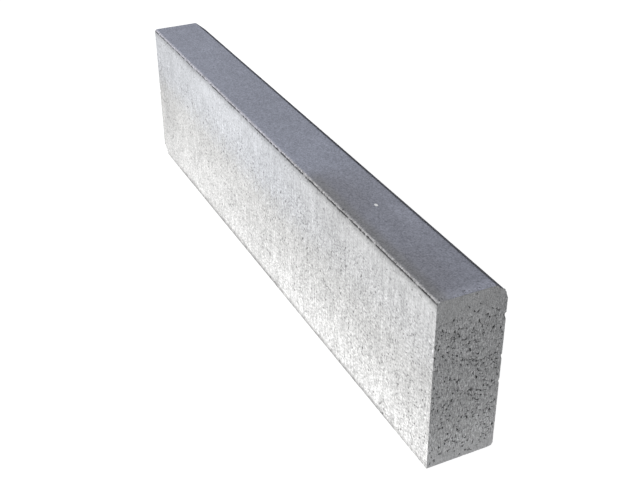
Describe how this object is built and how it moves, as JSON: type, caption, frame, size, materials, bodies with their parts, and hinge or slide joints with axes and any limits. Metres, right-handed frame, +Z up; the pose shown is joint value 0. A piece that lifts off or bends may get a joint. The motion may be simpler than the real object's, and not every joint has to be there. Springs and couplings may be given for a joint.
{
  "type": "concrete edging unit",
  "caption": "Straight precast concrete edging bar, rectangular in section, with a wide bevel along the back of its top and a small arris along the front.",
  "frame": {"origin": "centre of the bed, the flat bottom face", "axes": "+X along the unit, +Y towards the bevelled back, +Z up"},
  "size_m": [1, 0.098, 0.25],
  "materials": {
    "core_concrete": "matte",
    "wearing_concrete": "matte"
  },
  "bodies": {
    "root": {"core": "core_concrete", "wearing_layer": "wearing_concrete"}
  },
  "joints": []
}
